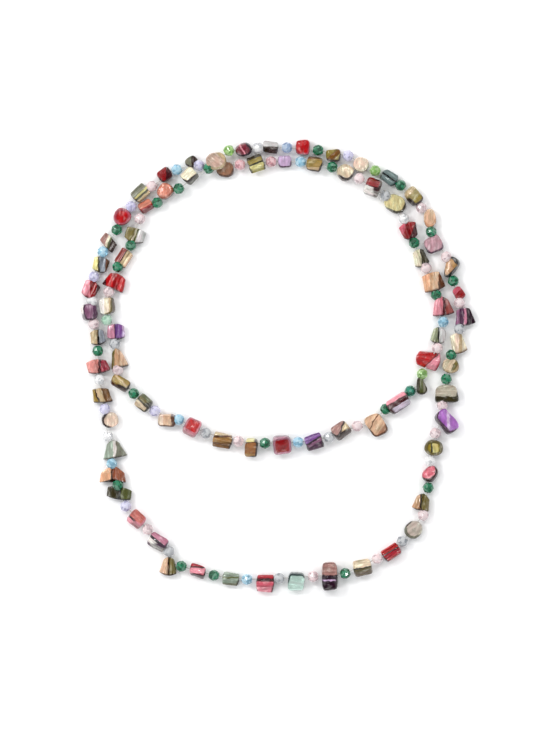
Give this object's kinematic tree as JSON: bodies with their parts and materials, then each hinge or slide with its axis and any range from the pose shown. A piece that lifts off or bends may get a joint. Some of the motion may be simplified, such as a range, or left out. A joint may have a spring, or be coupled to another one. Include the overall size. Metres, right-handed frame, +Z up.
{
  "type": "beaded necklace",
  "caption": "Long endless beaded necklace of dyed shell chips with faceted glass beads between them, laid flat and wound twice round.",
  "frame": {"origin": "middle of the underside of the bounding box, on the surface that the necklace lies on", "axes": "+X to the right and +Y towards the back of the neck as laid out, +Z up from the surface"},
  "size_m": [0.2056, 0.2352, 0.0097],
  "materials": {
    "shell_short": "polished dyed mother of pearl in reds, peach, olive, cream and plum",
    "shell_long": "polished dyed mother of pearl in reds, peach, olive, grey-green and violet",
    "glass_beads": "faceted clear and coloured glass",
    "thread": "clear to pale stringing thread"
  },
  "bodies": {
    "root": {"short_turn": "shell_short", "long_turn": "shell_long"}
  },
  "joints": []
}
